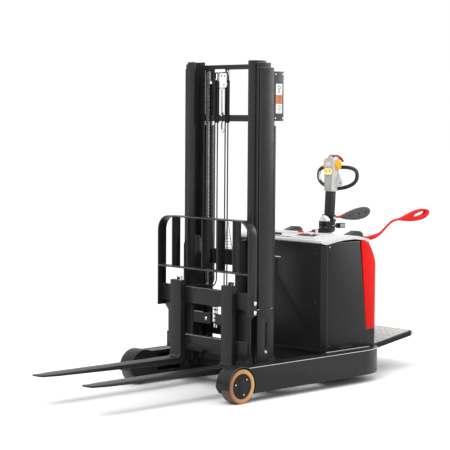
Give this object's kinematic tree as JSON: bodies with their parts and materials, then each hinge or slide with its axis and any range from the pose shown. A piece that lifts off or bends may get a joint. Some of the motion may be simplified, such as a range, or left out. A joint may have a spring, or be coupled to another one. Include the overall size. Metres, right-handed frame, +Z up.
{
  "type": "reach walkie stacker",
  "caption": "Electric walkie stacker with a reaching lift mast, straddle legs, forks with a load backrest, steering tiller, fold-down driver's platform and side arms.",
  "frame": {"origin": "middle of the overall length and width, on the floor", "axes": "+X towards the fork tips, +Y to the truck's left, +Z up"},
  "size_m": [3.1176, 1.05, 2.142],
  "materials": {
    "black_paint": "satin",
    "red_paint": "satin",
    "red_plastic": "gloss",
    "cover_plastic": "satin",
    "polyurethane": "satin",
    "hub_iron": "satin",
    "steel": "satin",
    "chrome": "polished",
    "rubber": "matte",
    "grey_plastic": "satin",
    "ring_plastic": "satin",
    "yellow_plastic": "gloss",
    "label": "satin",
    "battery_case": "matte",
    "hydraulics": "satin",
    "platform_deck": "matte"
  },
  "bodies": {
    "chassis": {"leg_left": "black_paint", "leg_right": "black_paint", "chassis_frame": "black_paint", "front_cover": "black_paint", "side_cover_left": "black_paint", "side_cover_right": "black_paint", "corner_panel_left": "red_plastic", "corner_panel_right": "red_plastic", "rear_cover": "black_paint", "top_cover": "cover_plastic", "battery": "battery_case", "hydraulic_unit": "hydraulics", "controller": "hydraulics", "reach_cylinder_barrel": "steel"},
    "load_wheel_left": {"load_tyre_left": "polyurethane", "load_hub_left": "hub_iron"},
    "load_wheel_right": {"load_tyre_right": "polyurethane", "load_hub_right": "hub_iron"},
    "drive_unit": {"drive_gearbox": "hub_iron", "drive_motor": "black_paint", "tiller_base": "black_paint"},
    "drive_wheel_set": {"drive_wheel": "polyurethane"},
    "caster_left": {"caster_fork_left": "steel"},
    "caster_right": {"caster_fork_right": "steel"},
    "caster_roller_left": {"caster_wheel_left": "rubber"},
    "caster_roller_right": {"caster_wheel_right": "rubber"},
    "tiller": {"tiller_tube": "ring_plastic", "handle_head": "grey_plastic", "handle_ring": "ring_plastic"},
    "throttle": {"throttle_wings": "yellow_plastic"},
    "belly": {"belly_switch": "red_plastic"},
    "lift_key": {"lift_button": "ring_plastic"},
    "lower_key": {"lower_button": "ring_plastic"},
    "stop_knob": {"emergency_stop": "red_plastic"},
    "key": {"key_switch": "chrome"},
    "foot_platform": {"platform": "platform_deck"},
    "arm_left": {"side_arm_left": "red_paint"},
    "arm_right": {"side_arm_right": "red_paint"},
    "mast_base": {"reach_carriage": "black_paint", "outer_mast": "black_paint", "lift_barrel_left": "black_paint", "lift_barrel_right": "black_paint", "label_plate": "label", "reach_cylinder_rod": "chrome"},
    "mast_middle": {"middle_mast": "black_paint", "lift_rod_left": "chrome", "lift_rod_right": "chrome"},
    "mast_inner": {"inner_mast": "black_paint", "lift_chain_left": "steel", "lift_chain_right": "steel", "hose_inner": "rubber", "hose_outer": "rubber"},
    "pulley_left": {"chain_pulley_left": "steel"},
    "pulley_right": {"chain_pulley_right": "steel"},
    "sheave": {"hose_sheave": "chrome"},
    "fork_mount": {"fork_carriage": "black_paint", "backrest": "black_paint"},
    "left_fork": {"fork_left": "black_paint"},
    "right_fork": {"fork_right": "black_paint"}
  },
  "joints": [
    {"name": "load_wheel_left_spin", "type": "hinge", "parent": "chassis", "child": "load_wheel_left", "pos_m": [0.53, 0.482, 0.111], "axis": [0, 1, 0], "continuous": true},
    {"name": "load_wheel_right_spin", "type": "hinge", "parent": "chassis", "child": "load_wheel_right", "pos_m": [0.53, -0.482, 0.111], "axis": [0, 1, 0], "continuous": true},
    {"name": "steering", "type": "hinge", "parent": "chassis", "child": "drive_unit", "pos_m": [-0.742, 0, 0.2], "axis": [0, 0, 1], "range_deg": [-90, 90]},
    {"name": "drive_wheel_spin", "type": "hinge", "parent": "drive_unit", "child": "drive_wheel_set", "pos_m": [-0.742, 0, 0.1], "axis": [0, 1, 0], "continuous": true},
    {"name": "caster_left_swivel", "type": "hinge", "parent": "chassis", "child": "caster_left", "pos_m": [-0.7, 0.29, 0.193], "axis": [0, 0, 1], "continuous": true},
    {"name": "caster_left_spin", "type": "hinge", "parent": "caster_left", "child": "caster_roller_left", "pos_m": [-0.73, 0.29, 0.062], "axis": [0, 1, 0], "continuous": true},
    {"name": "caster_right_swivel", "type": "hinge", "parent": "chassis", "child": "caster_right", "pos_m": [-0.7, -0.29, 0.193], "axis": [0, 0, 1], "continuous": true},
    {"name": "caster_right_spin", "type": "hinge", "parent": "caster_right", "child": "caster_roller_right", "pos_m": [-0.73, -0.29, 0.062], "axis": [0, 1, 0], "continuous": true},
    {"name": "tiller_tilt", "type": "hinge", "parent": "drive_unit", "child": "tiller", "pos_m": [-0.817, 0, 1.08], "axis": [0, 1, 0], "range_deg": [-75, 0], "stiffness_Nm_per_rad": 30, "springref_deg": 28.65},
    {"name": "throttle_turn", "type": "hinge", "parent": "tiller", "child": "throttle", "pos_m": [-0.84532, 0, 1.46701], "axis": [0, 1, 0], "range_deg": [-28, 28], "stiffness_Nm_per_rad": 0.6},
    {"name": "belly_press", "type": "slide", "parent": "tiller", "child": "belly", "axis": [-0.0576, 0, 0.9983], "range_m": [-0.006, 0], "stiffness_N_per_m": 900, "springref_m": 0.002},
    {"name": "lift_press", "type": "slide", "parent": "tiller", "child": "lift_key", "axis": [0.9983, 0, 0.0576], "range_m": [-0.0035, 0], "stiffness_N_per_m": 500, "springref_m": 0.001},
    {"name": "lower_press", "type": "slide", "parent": "tiller", "child": "lower_key", "axis": [0.9983, 0, 0.0576], "range_m": [-0.0035, 0], "stiffness_N_per_m": 500, "springref_m": 0.001},
    {"name": "emergency_stop_press", "type": "slide", "parent": "chassis", "child": "stop_knob", "axis": [0, 0, 1], "range_m": [-0.002, 0.006]},
    {"name": "key_turn", "type": "hinge", "parent": "chassis", "child": "key", "pos_m": [-0.56, 0.12, 0.983], "axis": [0, 0, 1], "range_deg": [0, 90]},
    {"name": "platform_fold", "type": "hinge", "parent": "chassis", "child": "foot_platform", "pos_m": [-0.885, 0, 0.18], "axis": [0, 1, 0], "range_deg": [-8.3, 81]},
    {"name": "side_arm_left_fold", "type": "hinge", "parent": "chassis", "child": "arm_left", "pos_m": [-0.805, 0.286, 0.968], "axis": [0, 1, 0], "range_deg": [-58, 0]},
    {"name": "side_arm_right_fold", "type": "hinge", "parent": "chassis", "child": "arm_right", "pos_m": [-0.805, -0.286, 0.968], "axis": [0, 1, 0], "range_deg": [-58, 0]},
    {"name": "reach", "type": "slide", "parent": "chassis", "child": "mast_base", "axis": [1, 0, 0], "range_m": [-0.3, 0.13]},
    {"name": "mast_lift", "type": "slide", "parent": "mast_base", "child": "mast_middle", "axis": [0, 0, 1], "range_m": [-0.04, 1.25]},
    {"name": "inner_lift", "type": "slide", "parent": "mast_middle", "child": "mast_inner", "axis": [0, 0, 1], "range_m": [-0.04, 1.25]},
    {"name": "carriage_lift", "type": "slide", "parent": "mast_inner", "child": "fork_mount", "axis": [0, 0, 1], "range_m": [-0.04, 1.25], "deforming": ["lift_chain_left", "lift_chain_right", "hose_inner", "hose_outer"]},
    {"name": "chain_pulley_left_spin", "type": "hinge", "parent": "mast_inner", "child": "pulley_left", "pos_m": [0.124, 0.208, 2.05], "axis": [0, 1, 0], "range_deg": [-75, 2200]},
    {"name": "chain_pulley_right_spin", "type": "hinge", "parent": "mast_inner", "child": "pulley_right", "pos_m": [0.124, -0.208, 2.05], "axis": [0, 1, 0], "range_deg": [-75, 2200]},
    {"name": "hose_sheave_spin", "type": "hinge", "parent": "mast_inner", "child": "sheave", "pos_m": [0.148, -0.088, 2.037], "axis": [1, 0, 0], "range_deg": [-80, 2400]},
    {"name": "fork_left_shift", "type": "slide", "parent": "fork_mount", "child": "left_fork", "axis": [0, 1, 0], "range_m": [-0.125, 0.11]},
    {"name": "fork_right_shift", "type": "slide", "parent": "fork_mount", "child": "right_fork", "axis": [0, 1, 0], "range_m": [-0.11, 0.125]}
  ],
  "couplings": [
    {"joint": "inner_lift", "follows": "mast_lift", "ratio": 1},
    {"joint": "carriage_lift", "follows": "mast_lift", "ratio": 1},
    {"joint": "chain_pulley_left_spin", "follows": "mast_lift", "rad_per_m": 29.412},
    {"joint": "chain_pulley_right_spin", "follows": "mast_lift", "rad_per_m": 29.412},
    {"joint": "hose_sheave_spin", "follows": "mast_lift", "rad_per_m": 32.258}
  ]
}
